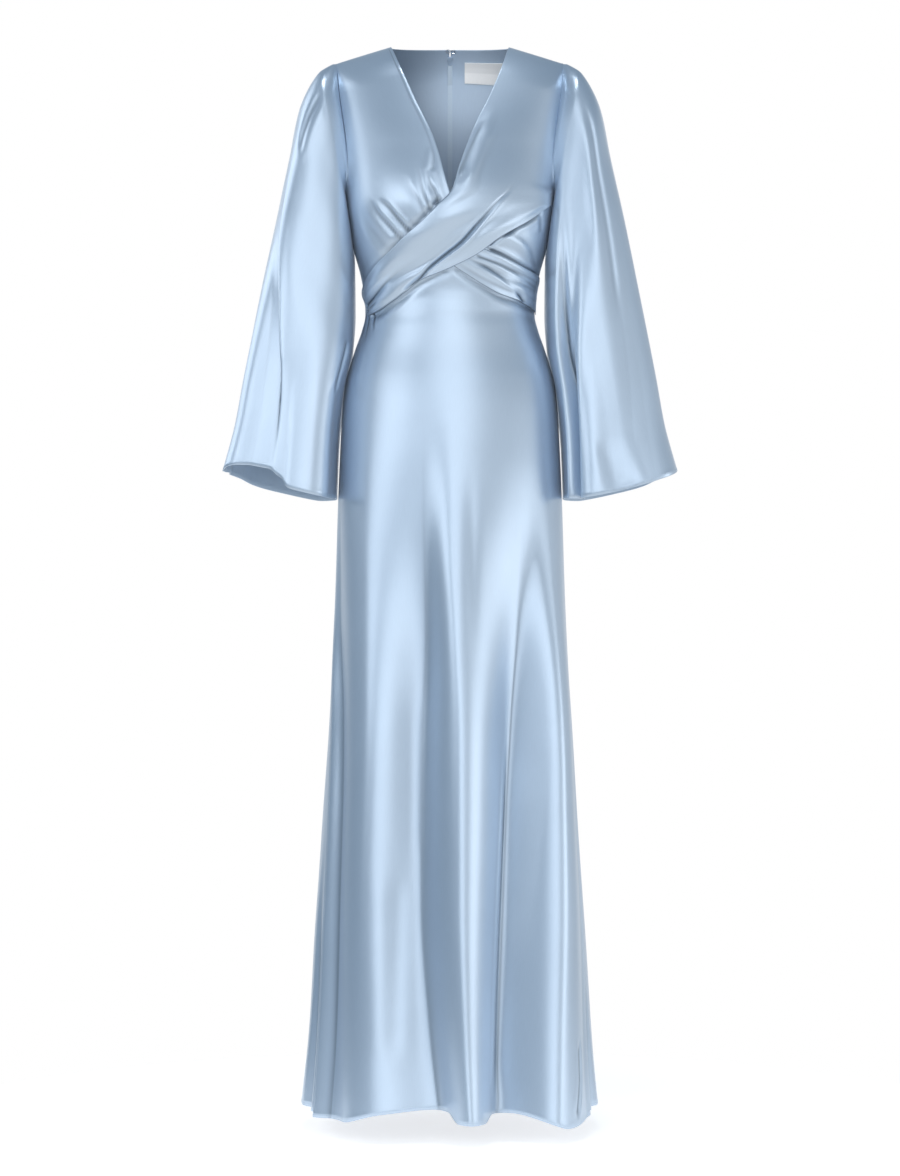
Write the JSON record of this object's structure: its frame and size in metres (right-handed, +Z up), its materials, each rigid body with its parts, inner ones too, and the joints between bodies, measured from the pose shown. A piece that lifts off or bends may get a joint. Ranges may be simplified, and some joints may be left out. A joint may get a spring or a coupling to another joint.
{
  "type": "wrap dress",
  "caption": "Floor-length satin gown with a V neck, crossed draped fronts gathered at the waist, wide flared sleeves, flared skirt and centre-back zip.",
  "frame": {"origin": "midway between the two shoulders, at the height of the middle of the shoulder seams", "axes": "+Z up, -Y is the front of the dress, +X is the wearer's left"},
  "size_m": [0.6378, 0.3837, 1.4959],
  "materials": {
    "satin": "glossy bias satin",
    "zip_tape": "woven zip tape",
    "zip_metal": "smooth",
    "label": "woven"
  },
  "bodies": {
    "dress": {"front_over_wrap": "satin", "front_under_wrap": "satin", "front_side": "satin", "under_band": "satin", "back_left": "satin", "back_right": "satin", "skirt_front": "satin", "skirt_back_left": "satin", "skirt_back_right": "satin", "sleeve_left": "satin", "sleeve_right": "satin", "zip_strip": "zip_tape", "label": "label", "zip_slider": "zip_metal", "hook": "zip_metal", "eye": "zip_metal"},
    "zip_pull": {"zip_pull_tab": "zip_metal"}
  },
  "joints": [
    {"name": "pull_tab_swing", "type": "hinge", "parent": "dress", "child": "zip_pull", "pos_m": [0, 0.0725, 0.00933], "axis": [1, 0, 0], "range_deg": [0, 150]}
  ]
}
